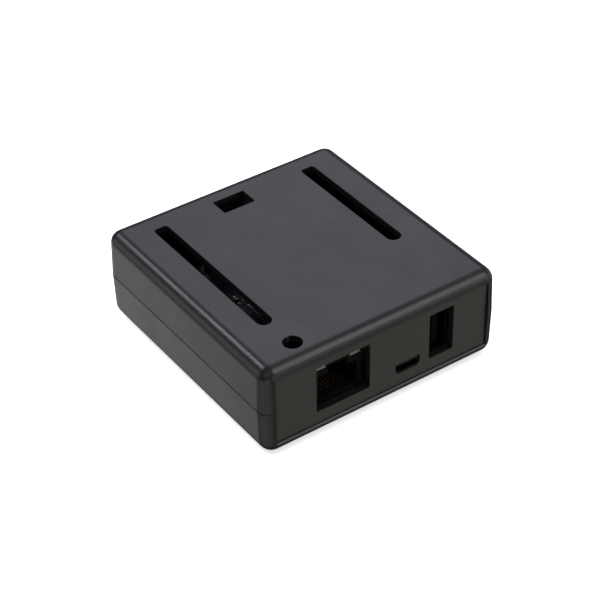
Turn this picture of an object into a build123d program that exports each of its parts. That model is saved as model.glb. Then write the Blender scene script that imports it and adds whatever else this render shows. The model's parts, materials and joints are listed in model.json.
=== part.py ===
from build123d import *
import os
from math import atan, degrees

# Logic analyzer in a two-piece snap-together case. Millimetres.
# Origin: middle of the footprint, at the surface the feet stand on.
# +X runs right along the connector side, +Y towards the plain side, +Z up.

# --- Case -------------------------------------------------------------------
case_width = 74.2  # across the seam, where the case is widest
case_depth = 76.6
shell_height = 13.5  # of each half
side_slope = 0.4  # how far each side leans in between seam and far face
corner_radius = 4.0
edge_radius = 3.5
wall = 2.0
foot_height = 1.0  # below the case
foot_radius = 4.0
foot_seat_depth = 0.5
foot_spacing_x = 54.0
foot_spacing_y = 56.0
seam_chamfer = 0.2
seam_gap = 0.06

draft = degrees(atan(side_slope / shell_height))
base_z = foot_height
seam_z = base_z + shell_height
top_z = seam_z + shell_height
floor_z = base_z + wall
roof_z = top_z - wall

# --- Panels -----------------------------------------------------------------
panel_face = 37.5  # outer face, measured from the middle of the case
panel_thickness = 2.1
panel_flange_step = 1.0  # how far the flange behind the shell edge sits below the face
panel_half_width = 34.6
panel_window_half_width = 33.7  # what shows between the corner posts
panel_lip = 3.4  # height of the shell edge above and below the panel
panel_lip_chamfer = 0.3
panel_gap = 0.15
panel_back = panel_face - panel_thickness
panel_bottom = floor_z + panel_gap
panel_top = roof_z - panel_gap
rib_thickness = 1.2
panel_flange_face = panel_face - panel_flange_step

# --- Closure posts and seam tongue ------------------------------------------
post_x = 31.0
post_y = 28.6
post_radius = 3.0
post_web_length = 4.0  # between each post and the side wall
post_web_thickness = 1.6
post_web_x = 33.2
peg_radius = 1.5
peg_clearance = 0.06
peg_length = 5.0
tongue_thickness = 0.8
tongue_height = 1.2
tongue_length = 48.0
tongue_gap = 0.12

# --- Board ------------------------------------------------------------------
pitch = 2.54
row_spacing = 48.26
board_thickness = 1.6
board_top = 8.1
board_bottom = board_top - board_thickness
board_width = 53.34
board_depth = 67.0
board_x = -0.27
board_y = -1.3
left_row_x = board_x - row_spacing / 2
right_row_x = board_x + row_spacing / 2
last_pin_y = 27.1  # every row ends here, towards the plain side
pin_hole_radius = 0.5
screw_hole_radius = 1.6
screw_places = [(left_row_x, -21.9), (right_row_x, -16.2), (18.8, 29.2), (-9.2, 29.2)]

screw_head_radius = 2.3
screw_head_height = 1.6
screw_core_radius = 1.05
screw_length = 5.2  # below the head
screw_recess_size = 2.6
screw_recess_width = 0.6
screw_recess_floor = 0.7

# --- Header sockets ---------------------------------------------------------
socket_width = 2.5
socket_height = 8.5
socket_hole = 0.9
socket_floor = 1.0
tail_size = 0.5
tail_drop = 2.5  # below the board's top face
programming_x = -1.6
programming_y = 28.5
programming_pin = 0.64
programming_pin_top = 16.7

# --- Openings in the top shell ----------------------------------------------
slot_width = 4.2
slot_front_corner = 2.09
slot_back_corner = 1.3
left_slot_front = -21.4
left_slot_back = 30.1
right_slot_front = -11.9
right_slot_back = 30.2
window_width = 9.8
window_depth = 6.2
window_corner = 0.5
reset_x = -23.65
reset_y = -30.9
reset_hole_radius = 2.55
opening_chamfer = 0.1

# --- Connectors on the front panel ------------------------------------------
jack_x = -12.85
jack_width = 15.4
jack_height = 13.4
jack_depth = 16.0
jack_front = -35.1
jack_opening_width = 16.7
connector_opening_bottom = 8.3
connector_opening_top = 22.5
plug_width = 11.9
plug_bottom = board_top + 1.8
plug_top = board_top + 9.0
plug_depth = 12.5
latch_width = 6.2
latch_top = board_top + 11.2
usb_x = 18.6
usb_width = 6.9
usb_height = 13.4
usb_depth = 14.0
usb_front = -35.1
usb_opening_width = 7.9
sheet = 0.3
tongue_plate = 1.9
micro_x = 7.65
micro_width = 7.4
micro_height = 2.5
micro_front = -37.0
micro_depth = 5.4
micro_opening_width = 7.95
micro_opening_height = 3.2

# --- Reset switch -----------------------------------------------------------
switch_size = 6.0
switch_height = 3.5
switch_chamber_radius = 2.25
switch_floor = 0.6
cover_thickness = 0.3
plunger_radius = 1.7
plunger_clearance = 0.06
plunger_top = 20.5
flange_radius = 2.15
flange_height = 0.8
dome_radius = 1.9
dome_rise = 0.55
dome_sheet = 0.15
dome_gap = 0.03

# --- Layout of the board ----------------------------------------------------
logic_array_x = -3.5
logic_array_y = 5.0
controller_x = 11.5
controller_y = -8.0
memory_x = 12.2
memory_y = 8.0
buffer_x = -17.2
buffer_rows = (-3.6, 12.6)
magnetics_y = -13.0
crystal_x = 0.2
crystal_y = -13.2
crystal_length = 10.4
crystal_width = 4.2
crystal_height = 3.2
crystal_rim = 0.4
regulator_x = 14.6
regulator_y = 21.2
regulator_length = 6.5
regulator_width = 3.5
regulator_lead_pitch = 2.3
regulator_sheet = 0.25
inductor_x = 5.2
inductor_y = 19.6
inductor_size = 5.6
inductor_height = 2.8
can_y = 28.4
can_columns = (7.2, 13.0)
can_radius = 2.5
can_height = 4.6
can_base_size = 5.2
can_base_height = 0.8
small_width = 0.8  # of the chip capacitors and resistors
small_length = 1.6
small_pitch = 1.8
light_row_x = -16.6
light_row_y = 26.0
fuse_x = 8.3
fuse_y = -25.4

header_rows = {
    "probe_header_10way": (left_row_x, last_pin_y - 17.6 * pitch, 10),
    "probe_header_8way": (left_row_x, last_pin_y - 7 * pitch, 8),
    "power_header_8way": (right_row_x, last_pin_y - 14 * pitch, 8),
    "trigger_header_6way": (right_row_x, last_pin_y - 5 * pitch, 6),
}
socket_pins = [(x, y + i * pitch) for x, y, ways in header_rows.values() for i in range(ways)]
programming_pins = [
    (programming_x + i * pitch, programming_y + j * pitch) for i in (-1, 0, 1) for j in (-0.5, 0.5)
]


# --- Shells -----------------------------------------------------------------
def shell_block(way):
    """One half of the case as a block: leaning sides and a rounded far edge."""
    with BuildSketch(Plane.XY.offset(seam_z + way * seam_gap / 2)) as outline:
        RectangleRounded(case_width, case_depth, corner_radius)
    extrude(outline.sketch, amount=shell_height - seam_gap / 2, dir=(0, 0, way), taper=draft)
    far_edges = edges().group_by(Axis.Z)[-1 if way > 0 else 0]
    fillet(far_edges, radius=edge_radius)
    seam_edges = edges().group_by(Axis.Z)[0 if way > 0 else -1]
    chamfer(seam_edges, length=seam_chamfer)


def shell_hollow(way):
    """The room inside one half, with the same lean as its outside."""
    with BuildSketch(Plane.XY.offset(seam_z)) as hollow:
        RectangleRounded(case_width - 2 * wall, case_depth - 2 * wall, corner_radius - wall)
    extrude(hollow.sketch, amount=shell_height - wall, dir=(0, 0, way), taper=draft, mode=Mode.SUBTRACT)


def panel_seats(way):
    """Front and back cut-outs, the seats behind them and the ribs that back each panel."""
    inner_z = roof_z if way > 0 else floor_z
    lip_z = top_z - panel_lip if way > 0 else base_z + panel_lip
    rib_height = abs(inner_z - seam_z) - seam_gap
    rib_z = (inner_z + seam_z + way * seam_gap) / 2
    rib_y = panel_back - panel_gap - rib_thickness / 2
    with Locations((0, -rib_y, rib_z), (0, rib_y, rib_z)):
        with Locations((-panel_half_width, 0, 0), (panel_half_width, 0, 0)):
            Box(2 * rib_thickness, rib_thickness, rib_height)
    with Locations((0, -rib_y, inner_z), (0, rib_y, inner_z)):
        Box(2 * panel_half_width, rib_thickness, 2 * rib_thickness)
    seat_depth = panel_flange_face - panel_back + 2 * panel_gap
    seat_y = (panel_flange_face + panel_back) / 2
    with Locations((0, -seat_y, rib_z), (0, seat_y, rib_z)):
        Box(
            2 * (panel_half_width + panel_gap),
            seat_depth,
            abs(inner_z - seam_z) + seam_gap,
            mode=Mode.SUBTRACT,
        )
    cut_height = abs(lip_z - seam_z)
    with Locations((0, 0, (lip_z + seam_z) / 2)):
        with Locations((0, -case_depth / 2, 0), (0, case_depth / 2, 0)):
            Box(
                2 * panel_window_half_width,
                2 * (case_depth / 2 - panel_flange_face),
                cut_height,
                mode=Mode.SUBTRACT,
            )
    lip_y = case_depth / 2 - side_slope * (shell_height - panel_lip) / shell_height
    bevel = panel_lip_chamfer * 2**0.5
    with Locations((0, -lip_y, lip_z), (0, lip_y, lip_z)):
        Box(2 * panel_window_half_width, bevel, bevel, rotation=(45, 0, 0), mode=Mode.SUBTRACT)


def top_opening(x, front, back, width, front_radius, back_radius):
    """A cut through the roof, with its own corner radius at each end."""
    with BuildSketch(Plane.XY.offset(top_z)) as outline:
        with Locations((x, (front + back) / 2)):
            Rectangle(width, back - front)
        fillet(outline.vertices().group_by(Axis.Y)[0], radius=front_radius)
        fillet(outline.vertices().group_by(Axis.Y)[-1], radius=back_radius)
    extrude(outline.sketch, amount=-2 * wall, mode=Mode.SUBTRACT)


post_places = [(x, y) for x in (-post_x, post_x) for y in (-post_y, post_y)]
post_web_places = [(x, y) for x in (-post_web_x, post_web_x) for y in (-post_y, post_y)]

with BuildPart() as top_shell:
    shell_block(1)
    shell_hollow(1)
    with Locations(*[(x, y, seam_z + seam_gap / 2) for x, y in post_places]):
        Cylinder(
            post_radius,
            roof_z - seam_z + 1,
            align=(Align.CENTER, Align.CENTER, Align.MIN),
        )
    with Locations(*[(x, y, seam_z + seam_gap / 2) for x, y in post_web_places]):
        Box(
            post_web_length,
            post_web_thickness,
            roof_z - seam_z + 1,
            align=(Align.CENTER, Align.CENTER, Align.MIN),
        )
    with Locations(*[(x, y, seam_z + 1) for x, y in post_places]):
        Cylinder(
            peg_radius,
            peg_length + 1,
            align=(Align.CENTER, Align.CENTER, Align.MAX),
        )
    panel_seats(1)
    rebate = tongue_thickness + tongue_gap
    for side in (-1, 1):
        with Locations((side * (case_width / 2 - wall + rebate / 2), 0, seam_z)):
            Box(
                rebate,
                tongue_length + 2 * tongue_gap,
                2 * (tongue_height + tongue_gap),
                mode=Mode.SUBTRACT,
            )
    for x, front, back in (
        (left_row_x, left_slot_front, left_slot_back),
        (right_row_x, right_slot_front, right_slot_back),
    ):
        top_opening(x, front, back, slot_width, slot_front_corner, slot_back_corner)
    top_opening(
        programming_x,
        programming_y - window_depth / 2,
        programming_y + window_depth / 2,
        window_width,
        window_corner,
        window_corner,
    )
    with Locations((reset_x, reset_y, top_z)):
        Cylinder(reset_hole_radius, 4 * wall, mode=Mode.SUBTRACT)
    rim = [
        e
        for e in edges().group_by(Axis.Z)[-1]
        if abs(e.center().X) < case_width / 2 - 6 and abs(e.center().Y) < case_depth / 2 - 4
    ]
    chamfer(rim, length=opening_chamfer)
top_shell.part.label = "top_shell"

foot_x = foot_spacing_x / 2
foot_y = foot_spacing_y / 2
foot_places = [(x, y) for x in (-foot_x, foot_x) for y in (-foot_y, foot_y)]
screw_pilot_radius = 1.1
screw_pilot_bottom = floor_z - 1.0

with BuildPart() as bottom_shell:
    shell_block(-1)
    shell_hollow(-1)
    with Locations(*[(x, y, floor_z - 1) for x, y in post_places]):
        Cylinder(
            post_radius,
            seam_z - seam_gap / 2 - floor_z + 1,
            align=(Align.CENTER, Align.CENTER, Align.MIN),
        )
    with Locations(*[(x, y, floor_z - 1) for x, y in post_web_places]):
        Box(
            post_web_length,
            post_web_thickness,
            seam_z - seam_gap / 2 - floor_z + 1,
            align=(Align.CENTER, Align.CENTER, Align.MIN),
        )
    with Locations(*[(x, y, seam_z) for x, y in post_places]):
        Cylinder(
            peg_radius + peg_clearance,
            peg_length + 0.5,
            align=(Align.CENTER, Align.CENTER, Align.MAX),
            mode=Mode.SUBTRACT,
        )
    panel_seats(-1)
    for side in (-1, 1):
        with Locations((side * (case_width / 2 - wall + tongue_thickness / 2), 0, seam_z - 1)):
            Box(
                tongue_thickness,
                tongue_length,
                tongue_height + 1,
                align=(Align.CENTER, Align.CENTER, Align.MIN),
            )
    with Locations(*[(x, y, floor_z - 0.5) for x, y in screw_places]):
        Cylinder(
            2.5,
            board_bottom - floor_z + 0.5,
            align=(Align.CENTER, Align.CENTER, Align.MIN),
        )
    with Locations(*[(x, y, screw_pilot_bottom) for x, y in screw_places]):
        Cylinder(
            screw_pilot_radius,
            board_bottom,
            align=(Align.CENTER, Align.CENTER, Align.MIN),
            mode=Mode.SUBTRACT,
        )
    with Locations(*[(x, y, base_z) for x, y in foot_places]):
        Cylinder(foot_radius + 0.1, 2 * foot_seat_depth, mode=Mode.SUBTRACT)
bottom_shell.part.label = "bottom_shell"

with BuildPart() as rubber_feet:
    with Locations(*[(x, y, 0) for x, y in foot_places]):
        Cylinder(
            foot_radius,
            foot_height + foot_seat_depth,
            align=(Align.CENTER, Align.CENTER, Align.MIN),
        )
    fillet(edges().group_by(Axis.Z)[0], radius=0.5)
rubber_feet.part.label = "rubber_feet"


# --- Panels -----------------------------------------------------------------
def panel_plate(way):
    """A panel between the shells: a flange in their grooves and a raised face between their edges."""
    flange_depth = panel_flange_face - panel_back
    with Locations((0, way * (panel_back + flange_depth / 2), seam_z)):
        Box(2 * panel_half_width, flange_depth, panel_top - panel_bottom)
    face_height = top_z - base_z - 2 * (panel_lip + panel_gap)
    with Locations((0, way * (panel_back + panel_thickness / 2), seam_z)):
        Box(2 * (panel_window_half_width - panel_gap), panel_thickness, face_height)


with BuildPart() as front_panel:
    panel_plate(-1)
    opening_z = (connector_opening_bottom + connector_opening_top) / 2
    opening_height = connector_opening_top - connector_opening_bottom
    with BuildSketch(Plane.XZ.offset(panel_face + 1)) as connector_openings:
        with Locations((jack_x, opening_z)):
            Rectangle(jack_opening_width, opening_height)
        with Locations((usb_x, opening_z)):
            Rectangle(usb_opening_width, opening_height)
        fillet(vertices(), radius=0.4)
        with Locations((micro_x, board_top + 0.1 + micro_opening_height / 2)):
            Rectangle(micro_opening_width, micro_opening_height)
        micro_corners = vertices().filter_by(lambda v: abs(v.X - micro_x) < micro_opening_width)
        chamfer(micro_corners.group_by(Axis.Y)[0], length=0.9)
    extrude(amount=-panel_thickness - 2, mode=Mode.SUBTRACT)
front_panel.part.label = "front_panel"

with BuildPart() as rear_panel:
    panel_plate(1)
rear_panel.part.label = "rear_panel"


# --- Board ------------------------------------------------------------------
with BuildPart() as circuit_board:
    with BuildSketch(Plane.XY.offset(board_bottom)) as board_outline:
        with Locations((board_x, board_y)):
            RectangleRounded(board_width, board_depth, 1.5)
        with Locations(*screw_places):
            Circle(screw_hole_radius, mode=Mode.SUBTRACT)
        with Locations(*socket_pins, *programming_pins):
            Circle(pin_hole_radius, mode=Mode.SUBTRACT)
    extrude(amount=board_thickness)
circuit_board.part.label = "circuit_board"

with BuildPart() as board_screws:
    with Locations(*[(x, y, board_top) for x, y in screw_places]):
        Cylinder(screw_head_radius, screw_head_height, align=(Align.CENTER, Align.CENTER, Align.MIN))
    fillet(edges().group_by(Axis.Z)[-1], radius=screw_head_height / 2)
    with Locations(*[(x, y, board_top + 0.2) for x, y in screw_places]):
        Cylinder(screw_core_radius, screw_length, align=(Align.CENTER, Align.CENTER, Align.MAX))
    with Locations(*[(x, y, board_top + screw_recess_floor) for x, y in screw_places]):
        for turn in (0, 90):
            Box(
                screw_recess_size,
                screw_recess_width,
                screw_head_height,
                rotation=(0, 0, turn),
                align=(Align.CENTER, Align.CENTER, Align.MIN),
                mode=Mode.SUBTRACT,
            )
board_screws.part.label = "board_screws"

# --- Ethernet jack ----------------------------------------------------------
light_width = 3.4
light_height = 1.9
light_x = 5.4
light_z = board_top + 12.0
light_depth = 2.0

with BuildPart() as ethernet_jack_housing:
    with Locations((jack_x, jack_front, board_top)):
        Box(jack_width, jack_depth, jack_height, align=(Align.CENTER, Align.MIN, Align.MIN))
    with BuildSketch(Plane.XZ.offset(-jack_front)) as plug_outline:
        with Locations((jack_x, plug_bottom)):
            Rectangle(plug_width, plug_top - plug_bottom, align=(Align.CENTER, Align.MIN))
            Rectangle(latch_width, latch_top - plug_bottom, align=(Align.CENTER, Align.MIN))
    extrude(amount=-plug_depth, mode=Mode.SUBTRACT)
    with Locations((jack_x - light_x, jack_front, light_z), (jack_x + light_x, jack_front, light_z)):
        Box(light_width + 0.1, 2 * light_depth, light_height + 0.1, mode=Mode.SUBTRACT)
ethernet_jack_housing.part.label = "ethernet_jack_housing"

with BuildPart() as ethernet_jack_lights:
    with Locations((jack_x - light_x, jack_front, light_z), (jack_x + light_x, jack_front, light_z)):
        Box(light_width, light_depth, light_height, align=(Align.CENTER, Align.MIN, Align.CENTER))
    fillet(edges().group_by(Axis.Y)[0], radius=0.2)
ethernet_jack_lights.part.label = "ethernet_jack_lights"

contact_pitch = 1.02
contact_width = 0.4
with BuildPart() as ethernet_jack_contacts:
    with BuildSketch(Plane.YZ.offset(jack_x)) as contact_profile:
        with BuildLine():
            Polyline(
                (jack_front + 2.6, plug_bottom + 0.05),
                (jack_front + 3.4, plug_bottom + 0.05),
                (jack_front + plug_depth - 0.1, plug_bottom + 2.4),
                (jack_front + plug_depth - 0.1, plug_bottom + 2.7),
                (jack_front + 3.3, plug_bottom + 0.35),
                (jack_front + 2.6, plug_bottom + 0.35),
                close=True,
            )
        make_face()
    for place in range(8):
        shift = (place - 3.5) * contact_pitch - contact_width / 2
        with Locations((shift, 0, 0)):
            add(extrude(contact_profile.sketch, amount=contact_width, mode=Mode.PRIVATE))
ethernet_jack_contacts.part.label = "ethernet_jack_contacts"

# --- USB sockets ------------------------------------------------------------
usb_middle_z = board_top + usb_height / 2
usb_tongue_x = usb_x + 0.6
with BuildPart() as usb_a_shell:
    with BuildSketch(Plane.XZ.offset(-usb_front)) as shell_outline:
        with Locations((usb_x, usb_middle_z)):
            RectangleRounded(usb_width, usb_height, 0.6)
            RectangleRounded(usb_width - 2 * sheet, usb_height - 2 * sheet, 0.4, mode=Mode.SUBTRACT)
    extrude(amount=-usb_depth)
usb_a_shell.part.label = "usb_a_shell"

with BuildPart() as usb_a_tongue:
    with Locations((usb_x, usb_front + usb_depth - 0.2, usb_middle_z)):
        Box(
            usb_width - 2 * sheet - 0.1,
            3.6,
            usb_height - 2 * sheet - 0.1,
            align=(Align.CENTER, Align.MAX, Align.CENTER),
        )
    fillet(edges().filter_by(Axis.Y), radius=0.45)
    with Locations((usb_tongue_x, usb_front + 1.2, usb_middle_z)):
        Box(
            tongue_plate,
            usb_depth - 4,
            11.1,
            align=(Align.CENTER, Align.MIN, Align.CENTER),
        )
usb_a_tongue.part.label = "usb_a_tongue"

usb_contact_z = [usb_middle_z + step for step in (-3.5, -1.0, 1.0, 3.5)]
with BuildPart() as usb_a_contacts:
    with Locations(*[(usb_tongue_x - tongue_plate / 2, usb_front + 2.0, z) for z in usb_contact_z]):
        Box(0.15, 7.4, 1.0, align=(Align.MAX, Align.MIN, Align.CENTER))
usb_a_contacts.part.label = "usb_a_contacts"

micro_z = board_top + 0.1 + micro_height / 2
with BuildPart() as micro_usb_shell:
    with BuildSketch(Plane.XZ.offset(-micro_front)) as micro_outline:
        with Locations((micro_x, micro_z)):
            Rectangle(micro_width, micro_height)
        chamfer(vertices().group_by(Axis.Y)[0], length=0.8)
        fillet(vertices().group_by(Axis.Y)[-1], radius=0.4)
        offset(amount=-0.25, mode=Mode.SUBTRACT)
    extrude(amount=-micro_depth)
micro_usb_shell.part.label = "micro_usb_shell"

with BuildPart() as micro_usb_tongue:
    with Locations((micro_x, micro_front + micro_depth - 0.1, micro_z + 0.15)):
        Box(5.0, 1.2, 1.3, align=(Align.CENTER, Align.MAX, Align.CENTER))
        Box(3.6, micro_depth - 0.8, 0.6, align=(Align.CENTER, Align.MAX, Align.CENTER))
micro_usb_tongue.part.label = "micro_usb_tongue"

# --- Header sockets ---------------------------------------------------------
header_parts = []
for name, (x, first_y, ways) in header_rows.items():
    with BuildPart() as header:
        with Locations((x, first_y + (ways - 1) * pitch / 2, board_top)):
            Box(
                socket_width,
                ways * pitch,
                socket_height,
                align=(Align.CENTER, Align.CENTER, Align.MIN),
            )
        places = [(x, first_y + i * pitch) for i in range(ways)]
        with BuildSketch(Plane.XY.offset(board_top + socket_height)) as entries:
            with Locations(*places):
                Rectangle(socket_hole, socket_hole)
        extrude(amount=-(socket_height - socket_floor), mode=Mode.SUBTRACT)
        chamfer(
            edges().group_by(Axis.Z)[-1].filter_by(lambda e: e.length < 2 * socket_hole),
            length=0.35,
        )
        with BuildSketch(Plane.XY.offset(board_top)) as tail_ways:
            with Locations(*places):
                Rectangle(tail_size + 0.1, tail_size + 0.1)
        extrude(amount=socket_floor, mode=Mode.SUBTRACT)
    header.part.label = name
    header_parts.append(header.part)

spring_sheet = 0.15
spring_x = socket_hole / 2 - spring_sheet / 2 - 0.03
with BuildPart() as header_contacts:
    with Locations(*[(x, y, board_top - tail_drop) for x, y in socket_pins]):
        Box(
            tail_size,
            tail_size,
            tail_drop + socket_floor + 0.2,
            align=(Align.CENTER, Align.CENTER, Align.MIN),
        )
    with Locations(*[(x + spring_x / 2, y, board_top + socket_floor + 0.05) for x, y in socket_pins]):
        Box(spring_x + spring_sheet, tail_size, 0.2, align=(Align.CENTER, Align.CENTER, Align.MIN))
    with Locations(*[(x + spring_x, y, board_top + socket_floor + 0.05) for x, y in socket_pins]):
        Box(spring_sheet, 0.7, 6.4, align=(Align.CENTER, Align.CENTER, Align.MIN))
header_contacts.part.label = "header_contacts"

with BuildPart() as programming_header_base:
    with Locations((programming_x, programming_y, board_top)):
        Box(3 * pitch, 2 * pitch, pitch, align=(Align.CENTER, Align.CENTER, Align.MIN))
    with Locations(*[(x, y, board_top) for x, y in programming_pins]):
        Box(programming_pin + 0.04, programming_pin + 0.04, 4 * pitch, mode=Mode.SUBTRACT)
    chamfer(edges().filter_by(Axis.Z).group_by(Axis.X)[0], length=0.5)
    chamfer(edges().filter_by(Axis.Z).group_by(Axis.X)[-1], length=0.5)
programming_header_base.part.label = "programming_header_base"

with BuildPart() as programming_header_pins:
    with Locations(*[(x, y, board_top - tail_drop) for x, y in programming_pins]):
        Box(
            programming_pin,
            programming_pin,
            programming_pin_top - board_top + tail_drop,
            align=(Align.CENTER, Align.CENTER, Align.MIN),
        )
    chamfer(edges().group_by(Axis.Z)[-1], length=0.15)
programming_header_pins.part.label = "programming_header_pins"

# --- Reset switch -----------------------------------------------------------
cover_bottom = board_top + switch_height
chamber_bottom = board_top + switch_floor
flange_top = cover_bottom - 0.05
nub_bottom = chamber_bottom + dome_rise + dome_gap
with BuildPart() as reset_switch_body:
    with Locations((reset_x, reset_y, board_top)):
        Box(
            switch_size,
            switch_size,
            switch_height,
            align=(Align.CENTER, Align.CENTER, Align.MIN),
        )
    chamfer(edges().filter_by(Axis.Z), length=0.6)
    with Locations((reset_x, reset_y, chamber_bottom)):
        Cylinder(
            switch_chamber_radius,
            switch_height,
            align=(Align.CENTER, Align.CENTER, Align.MIN),
            mode=Mode.SUBTRACT,
        )
reset_switch_body.part.label = "reset_switch_body"

with BuildPart() as reset_switch_cover:
    with Locations((reset_x, reset_y, cover_bottom)):
        Box(
            switch_size,
            switch_size,
            cover_thickness,
            align=(Align.CENTER, Align.CENTER, Align.MIN),
        )
    chamfer(edges().filter_by(Axis.Z), length=0.6)
    with Locations((reset_x, reset_y, cover_bottom)):
        Cylinder(plunger_radius + plunger_clearance, 2, mode=Mode.SUBTRACT)
reset_switch_cover.part.label = "reset_switch_cover"

leg_places = [(reset_x + i * 2.25, reset_y + j * 3.3) for i in (-1, 1) for j in (-1, 1)]
with BuildPart() as reset_switch_legs:
    with Locations(*[(x, y, board_top) for x, y in leg_places]):
        Box(0.7, 0.5, 1.8, align=(Align.CENTER, Align.CENTER, Align.MIN))
reset_switch_legs.part.label = "reset_switch_legs"

dome_curve = (dome_radius**2 + dome_rise**2) / (2 * dome_rise)
with BuildPart() as reset_dome:
    with Locations((reset_x, reset_y, chamber_bottom + dome_rise - dome_curve)):
        Sphere(dome_curve)
        Sphere(dome_curve - dome_sheet, mode=Mode.SUBTRACT)
    with Locations((reset_x, reset_y, chamber_bottom + 0.01)):
        Cylinder(dome_radius, dome_rise, align=(Align.CENTER, Align.CENTER, Align.MIN), mode=Mode.INTERSECT)
reset_dome.part.label = "reset_dome"

with BuildPart() as reset_button:
    with BuildSketch(Plane.XZ.offset(-reset_y)) as plunger_half:
        with BuildLine():
            Polyline(
                (reset_x, nub_bottom),
                (reset_x + 0.8, nub_bottom),
                (reset_x + 0.8, flange_top - flange_height),
                (reset_x + flange_radius, flange_top - flange_height),
                (reset_x + flange_radius, flange_top),
                (reset_x + plunger_radius, flange_top),
                (reset_x + plunger_radius, plunger_top - 0.3),
                (reset_x + plunger_radius - 0.3, plunger_top),
                (reset_x, plunger_top),
                close=True,
            )
        make_face()
    revolve(axis=Axis((reset_x, reset_y, 0), (0, 0, 1)))
reset_button.part.label = "reset_button"

# --- Chips ------------------------------------------------------------------
chip_lift = 0.1
lead_sheet = 0.15
lead_reach = 1.0


def gull_lead(width):
    """One bent lead that starts at x = 0 on a chip's side and lands at x = lead_reach."""
    with BuildPart() as lead:
        with BuildSketch(Plane.XZ) as lead_profile:
            with BuildLine():
                Polyline(
                    (0, 0.7),
                    (0.3, 0.7),
                    (0.5, lead_sheet),
                    (lead_reach, lead_sheet),
                    (lead_reach, 0),
                    (0.38, 0),
                    (0.2, 0.7 - lead_sheet),
                    (0, 0.7 - lead_sheet),
                    close=True,
                )
            make_face()
        extrude(amount=width / 2, both=True)
    return lead.part


def chip_body(places, size_x, size_y, height):
    """Moulded chip bodies with a sloping rim and a round mark for pin one."""
    with Locations(*[(x, y, board_top + chip_lift) for x, y in places]):
        Box(size_x, size_y, height, align=(Align.CENTER, Align.CENTER, Align.MIN))
    chamfer(edges().group_by(Axis.Z)[-1], length=0.2)
    mark_x = size_x / 2 - 0.9
    mark_y = size_y / 2 - 0.9
    mark_z = board_top + chip_lift + height
    with Locations(*[(x - mark_x, y - mark_y, mark_z) for x, y in places]):
        Cylinder(0.35, 0.1, mode=Mode.SUBTRACT)


def lead_places(places, size_x, size_y, count_x, count_y, lead_pitch):
    """Where leads stand: count_y down each long side, count_x along each end."""
    spots = []
    for x, y in places:
        for i in range(count_y):
            run = (i - (count_y - 1) / 2) * lead_pitch
            spots.append(Location((x + size_x / 2, y + run, board_top), (0, 0, 0)))
            spots.append(Location((x - size_x / 2, y + run, board_top), (0, 0, 180)))
        for i in range(count_x):
            run = (i - (count_x - 1) / 2) * lead_pitch
            spots.append(Location((x + run, y + size_y / 2, board_top), (0, 0, 90)))
            spots.append(Location((x + run, y - size_y / 2, board_top), (0, 0, -90)))
    return spots


# For each: name of its body, places, size along X and Y, height, leads along each end and down
# each side, and the pitch and width of the leads.
chips = {
    "logic_array": (
        "logic_array_chip", [(logic_array_x, logic_array_y)], 12.0, 12.0, 1.4, 16, 16, 0.65, 0.3
    ),
    "controller": (
        "controller_chip", [(controller_x, controller_y)], 10.0, 10.0, 1.4, 11, 11, 0.8, 0.35
    ),
    "sample_memory": (
        "sample_memory_chip", [(memory_x, memory_y)], 7.6, 10.6, 1.2, 0, 12, 0.8, 0.35
    ),
    "input_buffer": (
        "input_buffers", [(buffer_x, y) for y in buffer_rows], 4.4, 7.8, 1.1, 0, 10, 0.65, 0.3
    ),
}
chip_parts = []
for name, (body, places, size_x, size_y, height, *lead_layout, lead_width) in chips.items():
    with BuildPart() as chip:
        chip_body(places, size_x, size_y, height)
    chip.part.label = body
    chip_parts.append(chip.part)
    one_lead = gull_lead(lead_width)
    with BuildPart() as leads:
        with Locations(*lead_places(places, size_x, size_y, *lead_layout)):
            add(one_lead)
    leads.part.label = f"{name}_leads"
    chip_parts.append(leads.part)

with BuildPart() as ethernet_magnetics:
    chip_body([(jack_x, magnetics_y)], 12.8, 7.0, 2.4)
ethernet_magnetics.part.label = "ethernet_magnetics"

# --- Power and small parts --------------------------------------------------
with BuildPart() as crystal_can:
    with BuildSketch(Plane.XY.offset(board_top)) as can_outline:
        with Locations((crystal_x, crystal_y)):
            SlotOverall(crystal_length, crystal_width)
    extrude(amount=crystal_height)
    fillet(edges().group_by(Axis.Z)[-1], radius=0.5)
    with BuildSketch(Plane.XY.offset(board_top)) as can_flange:
        with Locations((crystal_x, crystal_y)):
            SlotOverall(crystal_length + 2 * crystal_rim, crystal_width + 2 * crystal_rim)
    extrude(amount=crystal_rim)
crystal_can.part.label = "crystal_can"

with BuildPart() as voltage_regulator:
    chip_body([(regulator_x, regulator_y)], regulator_length, regulator_width, 1.6)
voltage_regulator.part.label = "voltage_regulator"

with BuildPart() as regulator_tabs:
    with Locations((regulator_x, regulator_y + regulator_width / 2, board_top)):
        Box(3.0, 1.6, regulator_sheet, align=(Align.CENTER, Align.MIN, Align.MIN))
    tab_y = regulator_y - regulator_width / 2
    with Locations(*[(regulator_x + i * regulator_lead_pitch, tab_y, board_top) for i in (-1, 0, 1)]):
        Box(0.7, 1.5, regulator_sheet, align=(Align.CENTER, Align.MAX, Align.MIN))
regulator_tabs.part.label = "regulator_tabs"

with BuildPart() as power_inductor:
    with Locations((inductor_x, inductor_y, board_top)):
        Box(
            inductor_size,
            inductor_size,
            inductor_height,
            align=(Align.CENTER, Align.CENTER, Align.MIN),
        )
    fillet(edges().filter_by(Axis.Z), radius=1.0)
    with Locations((inductor_x, inductor_y, board_top + inductor_height)):
        Cylinder(2.0, 0.5, mode=Mode.SUBTRACT)
power_inductor.part.label = "power_inductor"

with BuildPart() as capacitor_bases:
    with Locations(*[(x, can_y, board_top) for x in can_columns]):
        Box(
            can_base_size,
            can_base_size,
            can_base_height,
            align=(Align.CENTER, Align.CENTER, Align.MIN),
        )
    chamfer(edges().filter_by(Axis.Z).group_by(Axis.Y)[0], length=0.8)
capacitor_bases.part.label = "capacitor_bases"

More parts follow.
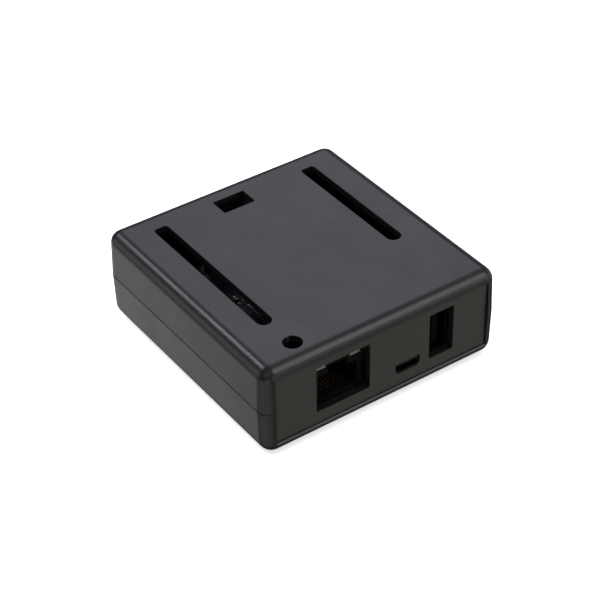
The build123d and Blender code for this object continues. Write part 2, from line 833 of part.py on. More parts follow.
with BuildPart() as electrolytic_capacitors:
    with Locations(*[(x, can_y, board_top + can_base_height) for x in can_columns]):
        Cylinder(can_radius, can_height, align=(Align.CENTER, Align.CENTER, Align.MIN))
    fillet(edges().group_by(Axis.Z)[-1], radius=0.4)
electrolytic_capacitors.part.label = "electrolytic_capacitors"


def chip_blocks(places, size_x, size_y, height):
    """Small rectangular parts soldered flat on the board."""
    with Locations(*[(x, y, board_top) for x, y in places]):
        Box(size_x, size_y, height, align=(Align.CENTER, Align.CENTER, Align.MIN))
    fillet(edges().filter_by(Axis.Z), radius=0.1)


def row(first_x, y, count, spacing=small_pitch):
    """Places in a row along X."""
    return [(first_x + i * spacing, y) for i in range(count)]


bypass_reach = 8.4  # from the middle of the logic array to the capacitors at its corners
bypass_places = []
for way in (-1, 1):
    corner_y = logic_array_y + way * bypass_reach
    bypass_places += row(logic_array_x - bypass_reach, corner_y, 2, 2 * bypass_reach)
bypass_places += row(controller_x - 3.3, controller_y - 8.2, 2, 6.6)
bypass_places += row(crystal_x + 1.0, crystal_y + 6.6, 2, 1.6)
bypass_places += row(regulator_x - 5.0, regulator_y - 5.0, 2)
bypass_places += row(regulator_x + 3.6, regulator_y - 5.0, 1)
bypass_places += row(fuse_x, fuse_y + 4.8, 2)
with BuildPart() as ceramic_capacitors:
    chip_blocks(bypass_places, small_width, small_length, 0.8)
ceramic_capacitors.part.label = "ceramic_capacitors"

resistor_places = row(light_row_x, light_row_y - 3.4, 3)
resistor_places += row(logic_array_x - 4.0, logic_array_y + 10.8, 4)
resistor_places += row(crystal_x + 0.8, crystal_y - 4.8, 3)
with BuildPart() as chip_resistors:
    chip_blocks(resistor_places, small_width, small_length, 0.45)
chip_resistors.part.label = "chip_resistors"

# Networks stand beside the probe headers, one for each group of four or so pins.
network_rows = [last_pin_y - (16.1 - 4.3 * i) * pitch for i in range(4)]
with BuildPart() as protection_networks:
    chip_blocks([(left_row_x + 2.8, y) for y in network_rows], 1.6, 5.0, 0.6)
protection_networks.part.label = "protection_networks"

with BuildPart() as status_lights:
    chip_blocks(row(light_row_x, light_row_y, 3), 1.0, 2.0, 0.8)
status_lights.part.label = "status_lights"

with BuildPart() as input_fuse:
    chip_blocks([(fuse_x, fuse_y)], 4.5, 3.2, 1.0)
input_fuse.part.label = "input_fuse"

# --- Write every piece ------------------------------------------------------
pieces = [
    top_shell.part,
    bottom_shell.part,
    rubber_feet.part,
    front_panel.part,
    rear_panel.part,
    circuit_board.part,
    board_screws.part,
    ethernet_jack_housing.part,
    ethernet_jack_lights.part,
    ethernet_jack_contacts.part,
    usb_a_shell.part,
    usb_a_tongue.part,
    usb_a_contacts.part,
    micro_usb_shell.part,
    micro_usb_tongue.part,
    header_contacts.part,
    programming_header_base.part,
    programming_header_pins.part,
    reset_switch_body.part,
    reset_switch_cover.part,
    reset_switch_legs.part,
    reset_dome.part,
    reset_button.part,
    ethernet_magnetics.part,
    crystal_can.part,
    voltage_regulator.part,
    regulator_tabs.part,
    power_inductor.part,
    capacitor_bases.part,
    electrolytic_capacitors.part,
    ceramic_capacitors.part,
    chip_resistors.part,
    protection_networks.part,
    status_lights.part,
    input_fuse.part,
]
os.makedirs("parts", exist_ok=True)
for piece in pieces + header_parts + chip_parts:
    export_step(piece, f"parts/{piece.label}.step")
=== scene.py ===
"""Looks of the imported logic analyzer: camera, studio, materials and fine detail on its board.

Metres, in the frame of the CAD model: +X right along the connector side, +Z up.
"""

import json
from math import cos, pi, radians, sin

import bmesh
import bpy
from mathutils import Matrix, Vector


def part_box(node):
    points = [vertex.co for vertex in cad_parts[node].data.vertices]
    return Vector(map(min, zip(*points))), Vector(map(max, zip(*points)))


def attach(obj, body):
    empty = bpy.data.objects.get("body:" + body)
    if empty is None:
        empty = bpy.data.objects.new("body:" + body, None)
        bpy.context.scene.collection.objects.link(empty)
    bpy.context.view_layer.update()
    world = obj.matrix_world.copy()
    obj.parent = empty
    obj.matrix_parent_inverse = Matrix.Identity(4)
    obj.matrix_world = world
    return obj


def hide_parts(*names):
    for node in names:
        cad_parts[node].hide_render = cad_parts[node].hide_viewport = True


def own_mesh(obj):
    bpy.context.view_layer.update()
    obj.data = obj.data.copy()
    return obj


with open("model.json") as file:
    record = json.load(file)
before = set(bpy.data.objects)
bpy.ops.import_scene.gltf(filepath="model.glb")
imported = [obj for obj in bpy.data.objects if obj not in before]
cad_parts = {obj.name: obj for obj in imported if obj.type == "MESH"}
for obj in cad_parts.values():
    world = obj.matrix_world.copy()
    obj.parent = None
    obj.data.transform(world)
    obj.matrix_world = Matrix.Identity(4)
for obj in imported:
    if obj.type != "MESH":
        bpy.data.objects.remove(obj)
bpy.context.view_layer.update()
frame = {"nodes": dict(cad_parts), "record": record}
nodes = frame["nodes"]
scene = bpy.context.scene

# ---------------------------------------------------------------------------
# Camera: from the front left, looking down on the lid
# ---------------------------------------------------------------------------
CAMERA_PLACE = (-0.22726, -0.3300, 0.32115)
CAMERA_HEADING = 34.57  # degrees to the right of +Y
CAMERA_DROP = 37.74  # degrees below the horizon
CAMERA_ROLL = -1.06
CAMERA_LENS = 112.9


def make_camera():
    data = bpy.data.cameras.new("camera")
    data.lens = CAMERA_LENS
    data.sensor_width = 36
    data.clip_start = 0.01
    camera = bpy.data.objects.new("camera", data)
    scene.collection.objects.link(camera)
    turn = (
        Matrix.Rotation(radians(-CAMERA_HEADING), 4, "Z")
        @ Matrix.Rotation(radians(90 - CAMERA_DROP), 4, "X")
        @ Matrix.Rotation(radians(CAMERA_ROLL), 4, "Z")
    )
    camera.matrix_world = Matrix.Translation(CAMERA_PLACE) @ turn
    scene.camera = camera


# ---------------------------------------------------------------------------
# Node helpers
# ---------------------------------------------------------------------------
def add_node(tree, kind, inputs=(), **settings):
    """A new node with its settings and input values; a value that is a socket is linked."""
    made = tree.nodes.new(kind)
    for name, value in settings.items():
        setattr(made, name, value)
    for key, value in dict(inputs).items():
        if isinstance(value, bpy.types.NodeSocket):
            tree.links.new(value, made.inputs[key])
        else:
            made.inputs[key].default_value = value
    return made


# ---------------------------------------------------------------------------
# Studio: what the object reflects, and what lights the floor
# ---------------------------------------------------------------------------
PALE = (1, 1, 1, 1)
# Each light patch: direction towards it, half width and soft edge in degrees, colour.
# The satin case mirrors them, so each one shades the faces turned half-way towards it.
LIGHT_PATCHES = {
    "back_window": ((0.43, 0.62, 0.65), 14, 5, (1.44, 1.41, 1.66)),
    "left_strip": ((-0.27, 0.65, 0.71), 9, 3, (5.4, 5.8, 6.3)),
    "front_window": ((0.449, -0.512, 0.732), 16, 9, (2.6, 2.65, 2.65)),
    "front_fill": ((0.449, 0.1, 0.85), 16, 12, (0.35, 0.35, 0.37)),
    "front_horizon": ((0.449, -0.85, 0.2), 16, 12, (0.28, 0.27, 0.26)),
    "left_window": ((-0.66, 0.6, 0.44), 14, 9, (0.16, 0.16, 0.18)),
    "right_window": ((0.72, -0.66, 0.24), 13, 8, (1.2, 1.2, 1.3)),
    "camera_side": ((-0.6, -0.5, 0.65), 20, 16, (0.5, 0.5, 0.5)),
    "left_wall": ((-0.72, 0.65, 0.05), 14, 8, (0.85, 0.86, 0.85)),
    "left_table": ((-0.3, 0.79, -0.52), 13, 10, (0.92, 0.93, 0.9)),
    "left_front_wall": ((-0.68, -0.68, -0.27), 11, 6, (0.9, 0.9, 0.88)),
    "corner_left": ((-0.775, 0.156, -0.612), 18, 12, (0.4, 0.4, 0.38)),
    "corner_table": ((-0.6, -0.5, -0.61), 24, 14, (0.4, 0.4, 0.37)),
    "front_table": ((0.52, -0.6, -0.6), 22, 15, (0.53, 0.49, 0.43)),
    "front_wall": ((0.0, -1.0, 0.03), 14, 10, (0.8, 0.8, 0.78)),
    "right_wall": ((1.0, 0.0, 0.0), 20, 12, (0.7, 0.7, 0.7)),
    "right_back_wall": ((0.7, 0.66, -0.3), 13, 8, (0.8, 0.8, 0.8)),
    "rear_wall": ((0.2, 0.98, 0.0), 22, 14, (0.1, 0.1, 0.11)),
}
ROOM = 0.025


def make_world():
    """A dim room with soft light patches. The camera sees only an even pale background."""
    world = bpy.data.worlds.new("studio")
    scene.world = world
    world.use_nodes = True
    tree = world.node_tree
    way = add_node(tree, "ShaderNodeTexCoord").outputs["Generated"]
    total = add_node(tree, "ShaderNodeCombineXYZ", {"X": ROOM, "Y": ROOM, "Z": ROOM}).outputs[0]
    for direction, half_width, edge, colour in LIGHT_PATCHES.values():
        aim = Vector(direction).normalized()
        near = add_node(
            tree, "ShaderNodeVectorMath", {0: way, 1: aim}, operation="DOT_PRODUCT"
        ).outputs["Value"]
        cover = add_node(
            tree,
            "ShaderNodeMapRange",
            {
                "Value": near,
                "From Min": cos(radians(half_width + edge)),
                "From Max": cos(radians(half_width - edge)),
            },
            interpolation_type="SMOOTHSTEP",
        ).outputs["Result"]
        glow = add_node(
            tree, "ShaderNodeVectorMath", {0: colour, "Scale": cover}, operation="SCALE"
        ).outputs["Vector"]
        total = add_node(
            tree, "ShaderNodeVectorMath", {0: total, 1: glow}, operation="ADD"
        ).outputs["Vector"]
    seen = add_node(tree, "ShaderNodeLightPath").outputs["Is Camera Ray"]
    colour = add_node(
        tree, "ShaderNodeMix", {"Factor": seen, 6: total, 7: PALE}, data_type="RGBA"
    ).outputs[2]
    tree.links.new(colour, tree.nodes["Background"].inputs["Color"])


def make_overhead_light():
    """A wide soft light for the matt surfaces. It stays out of reflections, which the world makes."""
    place = Vector((-0.1, 0.15, 0.9))
    data = bpy.data.lights.new("overhead", "AREA")
    data.shape = "DISK"
    data.size = 1.4
    data.energy = 13
    light = bpy.data.objects.new("overhead", data)
    scene.collection.objects.link(light)
    light.location = place
    light.rotation_euler = (-place).to_track_quat("-Z", "Y").to_euler()
    light.visible_glossy = False
    light.visible_camera = False


def make_floor():
    """A pale floor, faintly glowing so that it stays even right up to the object's shadow."""
    half = 2.0
    mesh = bpy.data.meshes.new("floor")
    corners = [(-half, -half, 0), (half, -half, 0), (half, half, 0), (-half, half, 0)]
    mesh.from_pydata(corners, [], [(0, 1, 2, 3)])
    floor = bpy.data.objects.new("floor", mesh)
    scene.collection.objects.link(floor)
    material = bpy.data.materials.new("floor")
    material.use_nodes = True
    tree = material.node_tree
    shader = tree.nodes["Principled BSDF"]
    shader.inputs["Base Color"].default_value = (0.9, 0.9, 0.9, 1)
    shader.inputs["Roughness"].default_value = 0.9
    shader.inputs["Specular IOR Level"].default_value = 0.1
    shader.inputs["Emission Color"].default_value = (1, 1, 1, 1)
    shader.inputs["Emission Strength"].default_value = 0.6
    mesh.materials.append(material)
    floor.visible_glossy = False


make_camera()
make_world()
make_floor()
make_overhead_light()


# ---------------------------------------------------------------------------
# Materials
# ---------------------------------------------------------------------------
def start_material(name):
    material = bpy.data.materials.new(name)
    material.use_nodes = True
    tree = material.node_tree
    return material, tree, tree.nodes["Principled BSDF"]


def object_place(tree, stretch=(1, 1, 1)):
    """Object coordinates, in metres, pressed together along the axes where stretch is small."""
    place = add_node(tree, "ShaderNodeTexCoord").outputs["Object"]
    if stretch == (1, 1, 1):
        return place
    return add_node(tree, "ShaderNodeMapping", {"Vector": place, "Scale": stretch}).outputs[0]


def noise(tree, place, size, detail=2.0):
    """Noise whose grains are about size metres across."""
    return add_node(
        tree, "ShaderNodeTexNoise", {"Vector": place, "Scale": 1 / size, "Detail": detail}
    ).outputs["Fac"]


def cells(tree, place, size, feature="F1"):
    """Distance in cells about size metres across."""
    return add_node(
        tree, "ShaderNodeTexVoronoi", {"Vector": place, "Scale": 1 / size}, feature=feature
    ).outputs["Distance"]


def between(tree, value, low, high, start=0.3, end=0.7):
    """value from start to end, stretched to low to high."""
    return add_node(
        tree,
        "ShaderNodeMapRange",
        {"Value": value, "From Min": start, "From Max": end, "To Min": low, "To Max": high},
    ).outputs["Result"]


def blend_colour(tree, factor, first, second):
    """first where factor is 0 and second where it is 1; each is a colour or a socket."""
    ends = [end if isinstance(end, bpy.types.NodeSocket) else (*end, 1) for end in (first, second)]
    return add_node(
        tree, "ShaderNodeMix", {"Factor": factor, 6: ends[0], 7: ends[1]}, data_type="RGBA"
    ).outputs[2]


def bump(tree, height, depth, strength=1.0):
    return add_node(
        tree, "ShaderNodeBump", {"Height": height, "Distance": depth, "Strength": strength}
    ).outputs["Normal"]


def finish_surface(tree, shader, colour, rough, normal, specular=0.5, metallic=0.0):
    for socket, key in ((colour, "Base Color"), (rough, "Roughness"), (normal, "Normal")):
        tree.links.new(socket, shader.inputs[key])
    shader.inputs["Specular IOR Level"].default_value = specular
    shader.inputs["Metallic"].default_value = metallic


def moulded_plastic(name, dark, light, rough, grain, depth, specular=0.5):
    """Moulded plastic: a fine eroded texture, with slow changes in tone and gloss."""
    material, tree, shader = start_material(name)
    place = object_place(tree)
    cloud = noise(tree, place, 0.012, 3)
    fine = noise(tree, place, grain, 4)
    colour = blend_colour(tree, cloud, dark, light)
    finish_surface(
        tree, shader, colour, between(tree, cloud, *rough), bump(tree, fine, depth), specular
    )
    return material


def grained_metal(name, dark, light, rough, grain, depth, stretch=(1, 1, 1)):
    """Metal with a grain that runs along the axis where stretch is small, and faint tarnish."""
    material, tree, shader = start_material(name)
    tarnish = noise(tree, object_place(tree), 0.0016, 4)
    lines = noise(tree, object_place(tree, stretch), grain, 3)
    colour = blend_colour(tree, between(tree, tarnish, 0, 1), dark, light)
    finish_surface(
        tree, shader, colour, between(tree, lines, *rough), bump(tree, lines, depth), 0.5, 1.0
    )
    return material


def speckled(name, ground, speck, speck_size, cover, rough, depth, specular=0.4):
    """Fired or pressed powder: grains of a second colour over the ground, and a dry surface."""
    material, tree, shader = start_material(name)
    place = object_place(tree)
    grains = cells(tree, place, speck_size)
    share = between(tree, grains, 1, 0, cover, cover + 0.15)
    colour = blend_colour(tree, share, ground, speck)
    fine = noise(tree, place, speck_size * 0.6, 3)
    finish_surface(
        tree, shader, colour, between(tree, fine, *rough), bump(tree, fine, depth), specular
    )
    return material


def rubber(name):
    """Matt rubber with a fine pebbled skin and pale dust in its low places."""
    material, tree, shader = start_material(name)
    place = object_place(tree)
    pebbles = cells(tree, place, 0.0004)
    dust = noise(tree, place, 0.003, 5)
    colour = blend_colour(tree, between(tree, dust, 0, 1, 0.45, 0.8), (0.012,) * 3, (0.03,) * 3)
    finish_surface(
        tree, shader, colour, between(tree, dust, 0.7, 0.9), bump(tree, pebbles, 0.00003), 0.3
    )
    return material


def solder_mask(name, low_z, high_z):
    """A board: gloss mask with copper areas showing faintly through it, and bare laminate edges."""
    weave_scale = 300.0
    mask_thickness = 0.00005
    material, tree, shader = start_material(name)
    place = object_place(tree)
    pour = between(tree, cells(tree, place, 0.007, "DISTANCE_TO_EDGE"), 0, 1, 0.03, 0.06)
    threads = [
        add_node(
            tree, "ShaderNodeTexWave", {"Vector": place, "Scale": weave_scale}, bands_direction=way
        ).outputs["Fac"]
        for way in ("X", "Y")
    ]
    weave = add_node(
        tree, "ShaderNodeMath", {0: threads[0], 1: threads[1]}, operation="MULTIPLY"
    ).outputs[0]
    mask = blend_colour(tree, pour, (0.0015, 0.0045, 0.009), (0.003, 0.009, 0.017))
    edge = blend_colour(tree, weave, (0.10, 0.085, 0.045), (0.16, 0.14, 0.08))
    height = add_node(tree, "ShaderNodeSeparateXYZ", {"Vector": place}).outputs["Z"]
    middle = add_node(
        tree,
        "ShaderNodeMath",
        {0: height, 1: (low_z + high_z) / 2, 2: (high_z - low_z) / 2 - mask_thickness},
        operation="COMPARE",
    ).outputs[0]
    colour = blend_colour(tree, middle, mask, edge)
    mottled = noise(tree, place, 0.002, 3)
    rough = add_node(
        tree,
        "ShaderNodeMath",
        {0: middle, 1: 0.4, 2: between(tree, mottled, 0.28, 0.4)},
        operation="MULTIPLY_ADD",
    ).outputs[0]
    height_map = add_node(tree, "ShaderNodeMath", {0: pour, 1: weave}, operation="ADD").outputs[0]
    finish_surface(tree, shader, colour, rough, bump(tree, height_map, 0.000006), 0.25)
    return material


def brushed_can(name):
    """A drawn aluminium can: fine rings round its sides and a soft grain on top."""
    material, tree, shader = start_material(name)
    rings = noise(tree, object_place(tree, (0.05, 0.05, 1)), 0.00012, 3)
    grain = noise(tree, object_place(tree, (1, 0.08, 1)), 0.0002, 3)
    both = add_node(tree, "ShaderNodeMath", {0: rings, 1: grain}, operation="ADD").outputs[0]
    colour = blend_colour(tree, between(tree, grain, 0, 1), (0.62, 0.63, 0.65), (0.74, 0.75, 0.77))
    rough = between(tree, both, 0.26, 0.4, 0.8, 1.2)
    finish_surface(tree, shader, colour, rough, bump(tree, both, 0.000004), 0.5, 1.0)
    return material


board_low, board_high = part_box("circuit_board")


def grey(level):
    return (level, level, level)


looks = {
    "case": moulded_plastic(
        "case_satin", grey(0.006), grey(0.009), rough=(0.27, 0.33), grain=0.0004, depth=0.000022
    ),
    # The panel is the case plastic a shade darker, painted shade for the front face, and a little
    # duller.
    "panel": moulded_plastic(
        "panel_satin_painted_shade", grey(0.006), grey(0.008), rough=(0.31, 0.38), grain=0.00035, depth=0.000016
    ),
    "foot_rubber": rubber("foot_rubber"),
    "board_laminate": solder_mask("board_laminate", board_low[2], board_high[2]),
    "screw_steel": grained_metal(
        "screw_steel",
        grey(0.03),
        grey(0.06),
        rough=(0.3, 0.42),
        grain=0.0002,
        depth=0.000004,
        stretch=(1, 0.15, 1),
    ),
    # Connector plastic is blacker and far less glossy than the case: painted shade, so the openings
    # in the panel read as dark as shade.
    "connector_plastic": moulded_plastic(
        "connector_plastic",
        grey(0.0015),
        grey(0.0035),
        rough=(0.55, 0.68),
        grain=0.00015,
        depth=0.000006,
        specular=0.05,
    ),
    "header_plastic": moulded_plastic(
        "header_plastic",
        grey(0.009),
        grey(0.014),
        rough=(0.42, 0.55),
        grain=0.00018,
        depth=0.000006,
        specular=0.35,
    ),
    "light_window": moulded_plastic(
        "light_window",
        (0.05, 0.062, 0.05),
        (0.075, 0.088, 0.07),
        rough=(0.16, 0.26),
        grain=0.0004,
        depth=0.000005,
    ),
    "contact_gold": grained_metal(
        "contact_gold",
        (0.55, 0.36, 0.11),
        (0.7, 0.5, 0.2),
        rough=(0.22, 0.36),
        grain=0.0001,
        depth=0.000002,
        stretch=(1, 1, 0.1),
    ),
    "dark_metal": grained_metal(
        "dark_metal",
        grey(0.035),
        grey(0.07),
        rough=(0.3, 0.45),
        grain=0.00015,
        depth=0.000003,
        stretch=(1, 0.08, 1),
    ),
    "tin_metal": grained_metal(
        "tin_metal",
        grey(0.42),
        grey(0.62),
        rough=(0.32, 0.48),
        grain=0.0003,
        depth=0.000004,
        stretch=(1, 0.6, 1),
    ),
    "button_plastic": moulded_plastic(
        "button_plastic", grey(0.008), grey(0.013), rough=(0.38, 0.48), grain=0.00012, depth=0.000004
    ),
    "chip_resin": speckled(
        "chip_resin",
        grey(0.016),
        grey(0.034),
        speck_size=0.00007,
        cover=0.28,
        rough=(0.55, 0.7),
        depth=0.000008,
    ),
    "ferrite": speckled(
        "ferrite",
        grey(0.03),
        grey(0.075),
        speck_size=0.00012,
        cover=0.3,
        rough=(0.5, 0.72),
        depth=0.000012,
    ),
    "can_aluminium": brushed_can("can_aluminium"),
    "ceramic_tan": speckled(
        "ceramic_tan",
        (0.30, 0.19, 0.10),
        (0.2, 0.12, 0.06),
        speck_size=0.0001,
        cover=0.22,
        rough=(0.35, 0.5),
        depth=0.000004,
    ),
    "fuse_green": speckled(
        "fuse_green",
        (0.012, 0.06, 0.03),
        (0.02, 0.09, 0.045),
        speck_size=0.0002,
        cover=0.3,
        rough=(0.3, 0.42),
        depth=0.000004,
    ),
    "white_ink": speckled(
        "white_ink",
        grey(0.55),
        grey(0.42),
        speck_size=0.0001,
        cover=0.2,
        rough=(0.5, 0.65),
        depth=0.000003,
    ),
}

# Every CAD node gets the look of its slot. The panels are a little duller than the shells and a shade
# darker, painted shade for the front face; the header sockets are a little glossier than the
# connectors.
slot_of = {part["node"]: part["material_slot"] for part in frame["record"]["subparts"]}
for name, node in nodes.items():
    look = slot_of[name]
    if look == "case_plastic":
        look = "panel" if name.endswith("panel") else "case"
    if "header" in name and look == "connector_plastic":
        look = "header_plastic"
    node.data.materials.clear()
    node.data.materials.append(looks[look])


# ---------------------------------------------------------------------------
# Fine detail on the board: lands, tracks, ink and solder
# ---------------------------------------------------------------------------
BOARD_TOP = board_high[2]
COPPER = 0.000035  # how far plated copper stands off the board
MASKED = 0.00003  # how far a track under the mask does
INK = 0.00002


def solids_of(name):
    """(lowest corner, highest corner) of each separate solid in a CAD node, from left to right.

    Vertices at one place, and those joined by an edge, belong to one solid.
    """
    mesh = nodes[name].data
    index, parent, keys = {}, [], []

    def root(i):
        while parent[i] != i:
            parent[i] = parent[parent[i]]
            i = parent[i]
        return i

    for vertex in mesh.vertices:
        key = tuple(round(c, 6) for c in vertex.co)
        if key not in index:
            index[key] = len(parent)
            parent.append(len(parent))
        keys.append(index[key])
    for edge in mesh.edges:
        first, second = (root(keys[i]) for i in edge.vertices)
        parent[first] = second
    boxes = {}
    for vertex, key in zip(mesh.vertices, keys):
        low, high = boxes.setdefault(root(key), (vertex.co.copy(), vertex.co.copy()))
        for axis in range(3):
            low[axis] = min(low[axis], vertex.co[axis])
            high[axis] = max(high[axis], vertex.co[axis])
    return sorted(boxes.values(), key=lambda pair: (round(pair[0].x, 4), pair[0].y))


def prism(detail, outline, low, high, inset=0.0):
    """A solid from an outline of (x, y) points, its top face drawn in by inset."""
    middle_x = sum(x for x, _ in outline) / len(outline)
    middle_y = sum(y for _, y in outline) / len(outline)
    ends = []
    for level, pull in ((low, 0.0), (high, inset)):
        loop = []
        for x, y in outline:
            away = Vector((x - middle_x, y - middle_y))
            drawn = away * (1 - pull / away.length)
            loop.append(detail.verts.new((middle_x + drawn.x, middle_y + drawn.y, level)))
        ends.append(loop)
    bottom, top = ends
    detail.faces.new(reversed(bottom))
    detail.faces.new(top)
    for i, corner in enumerate(bottom):
        following = (i + 1) % len(bottom)
        detail.faces.new((corner, bottom[following], top[following], top[i]))


def patch(detail, low, high, bottom, top, inset=0.0):
    """A flat rectangle of material with cut corners."""
    corner_share = 0.15
    cut = corner_share * min(high[0] - low[0], high[1] - low[1])
    outline = [
        (low[0] + cut, low[1]),
        (high[0] - cut, low[1]),
        (high[0], low[1] + cut),
        (high[0], high[1] - cut),
        (high[0] - cut, high[1]),
        (low[0] + cut, high[1]),
        (low[0], high[1] - cut),
        (low[0], low[1] + cut),
    ]
    prism(detail, outline, bottom, top, inset)


def ring(detail, middle, inner, outer, low, high, steps=24):
    """A flat ring, open in the middle."""
    loops = []
    for radius, level in ((inner, low), (outer, low), (outer, high), (inner, high)):
        loop = []
        for i in range(steps):
            turn = 2 * pi * i / steps
            place = (middle[0] + radius * cos(turn), middle[1] + radius * sin(turn), level)
            loop.append(detail.verts.new(place))
        loops.append(loop)
    for first, second in zip(loops, loops[1:] + loops[:1]):
        for i in range(steps):
            j = (i + 1) % steps
            detail.faces.new((first[i], first[j], second[j], second[i]))


def track(detail, points, width, low, high):
    """A flat track along straight runs, one prism a run, with a round-ended joint at each bend."""
    for start, end in zip(points, points[1:]):
        run = Vector(end) - Vector(start)
        along = run.normalized() * width / 2
        side = Vector((-along.y, along.x))
        outline = []
        for point, way in ((Vector(end), 1), (Vector(start), -1)):
            for share_along, share_side in ((0.5, -1), (1, -0.5), (1, 0.5), (0.5, 1)):
                corner = point + way * (along * share_along + side * share_side)
                outline.append((corner.x, corner.y))
        prism(detail, outline, low, high)


def add_piece(name, detail, look):
    bmesh.ops.recalc_face_normals(detail, faces=detail.faces)
    mesh = bpy.data.meshes.new(name)
    detail.to_mesh(mesh)
    detail.free()
    mesh.materials.append(looks[look])
    piece = bpy.data.objects.new(name, mesh)
    scene.collection.objects.link(piece)
    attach(piece, "case")
    return piece


def middle_of(pair):
    return ((pair[0][0] + pair[1][0]) / 2, (pair[0][1] + pair[1][1]) / 2)


pins = [middle_of(pair) for pair in solids_of("header_contacts")]
header_pin_count = len(pins)
pins += [middle_of(pair) for pair in solids_of("programming_header_pins")]


def make_lands():
    """Plated rings: under the board round every pin, and on top round every screw."""
    lands = bmesh.new()
    for pin in pins:
        ring(lands, pin, 0.0005, 0.00085, board_low[2] - COPPER, board_low[2])
    for screw in solids_of("board_screws"):
        ring(lands, middle_of(screw), 0.0017, 0.0031, BOARD_TOP, BOARD_TOP + COPPER, 36)
    add_piece("pin_and_screw_lands", lands, "tin_metal")


def make_pin_solder():
    """A small cone of solder at each pin, under the board."""
    radius = 0.00078
    height = 0.0006
    solder = bmesh.new()
    for x, y in pins:
        turns = [2 * pi * i / 16 for i in range(16)]
        circle = [(x + radius * cos(turn), y + radius * sin(turn)) for turn in turns]
        prism(solder, circle, board_low[2] - COPPER, board_low[2] - height, 0.0004)
    add_piece("pin_solder", solder, "tin_metal")


def make_solder_joints():
    """A land under every lead, and a sloping heel of solder at both ends of every small part."""
    joints = bmesh.new()
    margin = 0.00012
    lead_nodes = [name for name in nodes if name.endswith("_leads")]
    for name in lead_nodes + ["regulator_tabs", "reset_switch_legs"]:
        for low, high in solids_of(name):
            near = (low.x - margin, low.y - margin)
            far = (high.x + margin, high.y + margin)
            patch(joints, near, far, BOARD_TOP, BOARD_TOP + 0.0001, 0.0001)
    overlap = 0.28  # of the part's length
    overhang = 0.0003
    heel = 0.35  # of the part's height
    small_nodes = [
        "ceramic_capacitors",
        "chip_resistors",
        "status_lights",
        "protection_networks",
        "input_fuse",
    ]
    for name in small_nodes:
        for low, high in solids_of(name):
            reach = overlap * (high.y - low.y)
            for edge, way in ((low.y, -1), (high.y, 1)):
                near, far = sorted((edge - way * reach, edge + way * overhang))
                patch(
                    joints,
                    (low.x - 0.0001, near),
                    (high.x + 0.0001, far),
                    BOARD_TOP,
                    BOARD_TOP + heel * (high.z - low.z),
                    0.0002,
                )
    add_piece("solder_joints", joints, "tin_metal")


def make_end_caps():
    """Plated ends that wrap over the small parts."""
    wrap = 0.00002
    share = 0.22  # of the part's length
    caps = bmesh.new()
    for name in ("ceramic_capacitors", "chip_resistors", "status_lights"):
        for low, high in solids_of(name):
            length = share * (high.y - low.y)
            for start, end in ((low.y - wrap, low.y + length), (high.y - length, high.y + wrap)):
                patch(
                    caps,
                    (low.x - wrap, start),
                    (high.x + wrap, end),
                    BOARD_TOP,
                    high.z + wrap,
                    0.00003,
                )
    add_piece("end_caps", caps, "tin_metal")


def make_capacitor_marks():
    """The dark sector that marks the negative side on top of each aluminium can."""
    rim = 0.0004
    sectors = bmesh.new()
    for low, high in solids_of("electrolytic_capacitors"):
        x, y = middle_of((low, high))
        radius = (high.x - low.x) / 2 - rim
        turns = [radians(turn) for turn in range(120, 241, 8)]
        arc = [(x + radius * cos(turn), y + radius * sin(turn)) for turn in turns]
        prism(sectors, arc, high.z, high.z + INK)
    add_piece("capacitor_marks", sectors, "connector_plastic")


def make_ink():
    """Corner marks round the chips, a dot at pin one, and outlines of the header sockets."""
    chip_nodes = ["logic_array_chip", "controller_chip", "sample_memory_chip", "input_buffers"]
    chip_nodes += ["ethernet_magnetics", "voltage_regulator", "power_inductor", "crystal_can"]
    header_nodes = [name for name in nodes if name.endswith("way")]
    line = 0.00018
    chip_gap = 0.0014
    arm = 0.0011
    header_gap = 0.0004
    ink = bmesh.new()
    for name in chip_nodes:
        for low, high in solids_of(name):
            for x, way_x in ((low.x - chip_gap, 1), (high.x + chip_gap, -1)):
                for y, way_y in ((low.y - chip_gap, 1), (high.y + chip_gap, -1)):
                    corner = [(x + way_x * arm, y), (x, y), (x, y + way_y * arm)]
                    track(ink, corner, line, BOARD_TOP, BOARD_TOP + INK)
            dot = (low.x - chip_gap - 0.0006, low.y - chip_gap)
            ring(ink, dot, 0.00005, 0.0003, BOARD_TOP, BOARD_TOP + INK, 16)
    for name in header_nodes:
        low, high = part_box(name)
        left, right = low[0] - header_gap, high[0] + header_gap
        front, back = low[1] - header_gap, high[1] + header_gap
        outline = [(left, front), (right, front), (right, back), (left, back), (left, front)]
        track(ink, outline, line, BOARD_TOP, BOARD_TOP + INK)
    add_piece("board_ink", ink, "white_ink")


def lead_side(name, box_low, box_high, side):
    """Leads of a node on one side of a chip, from front to back."""
    found = []
    for low, high in solids_of(name):
        x, y = middle_of((low, high))
        beyond = x < box_low[0] if side < 0 else x > box_high[0]
        if beyond and box_low[1] < y < box_high[1]:
            found.append((low.x if side < 0 else high.x, y))
    return sorted(found, key=lambda place: place[1])


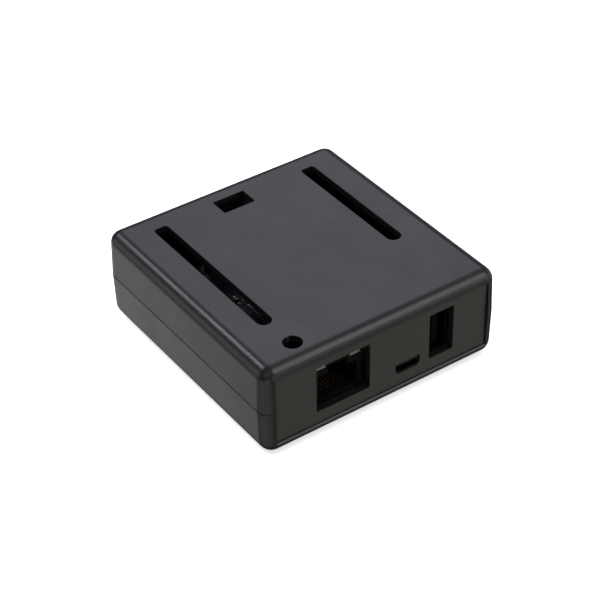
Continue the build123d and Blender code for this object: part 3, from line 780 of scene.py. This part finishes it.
def make_tracks_and_vias():
    """Tracks under the mask, from the header pins inwards and between the chips, and plated vias."""
    width = 0.00022
    lane_step = 0.00038
    tracks = bmesh.new()
    vias = bmesh.new()

    def route(start, end, turn_x):
        """Out from start along X, across at turn_x, and on to end."""
        points = [start, (turn_x, start[1]), (turn_x, end[1]), end]
        track(tracks, points, width, BOARD_TOP, BOARD_TOP + MASKED)

    def via(place):
        ring(vias, place, 0.00015, 0.00032, BOARD_TOP, BOARD_TOP + COPPER, 16)

    board_middle_x = (board_low[0] + board_high[0]) / 2
    for order, (x, y) in enumerate(pins[:header_pin_count]):
        way = 1 if x < board_middle_x else -1
        reach = 0.0019 if way > 0 else 0.0024 + 0.0009 * (order % 3)
        end = (x + way * reach, y)
        track(tracks, [(x, y), end], width * 1.4, BOARD_TOP, BOARD_TOP + MASKED)
        via(end)

    array_low, array_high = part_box("logic_array_chip")
    memory_low, memory_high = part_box("sample_memory_chip")
    array_left = lead_side("logic_array_leads", array_low, array_high, -1)
    array_right = lead_side("logic_array_leads", array_low, array_high, 1)
    memory_left = lead_side("sample_memory_leads", memory_low, memory_high, -1)
    buffer_right = [
        lead_side("input_buffer_leads", low, high, 1) for low, high in solids_of("input_buffers")
    ]
    for group, first in zip(buffer_right, (0, 8)):
        rising = group[0][1] < array_left[first][1]
        for order, start in enumerate(group[1:9]):
            lane = 7 - order if rising else order
            route(start, array_left[first + order], start[0] + 0.0004 + lane * lane_step)
    for order, end in enumerate(memory_left):
        start = array_right[order + 3]
        lane = len(memory_left) - 1 - order if start[1] < end[1] else order
        route(start, end, start[0] + 0.0003 + lane * lane_step * 0.8)
    for low, high in solids_of("ceramic_capacitors"):
        via((middle_of((low, high))[0], low.y - 0.0008))
    add_piece("board_tracks", tracks, "board_laminate")
    add_piece("board_vias", vias, "tin_metal")


def make_spring_dome():
    """The spring dome of the reset switch, remade as its own copy of the CAD mesh."""
    dome = bpy.data.objects.new("spring_dome", nodes["reset_dome"].data.copy())
    scene.collection.objects.link(dome)
    dome.matrix_world = nodes["reset_dome"].matrix_world
    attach(dome, "case")
    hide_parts("reset_dome")
    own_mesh(dome)


make_lands()
make_pin_solder()
make_solder_joints()
make_end_caps()
make_capacitor_marks()
make_ink()
make_tracks_and_vias()
make_spring_dome()

scene.view_settings.view_transform = "Standard"
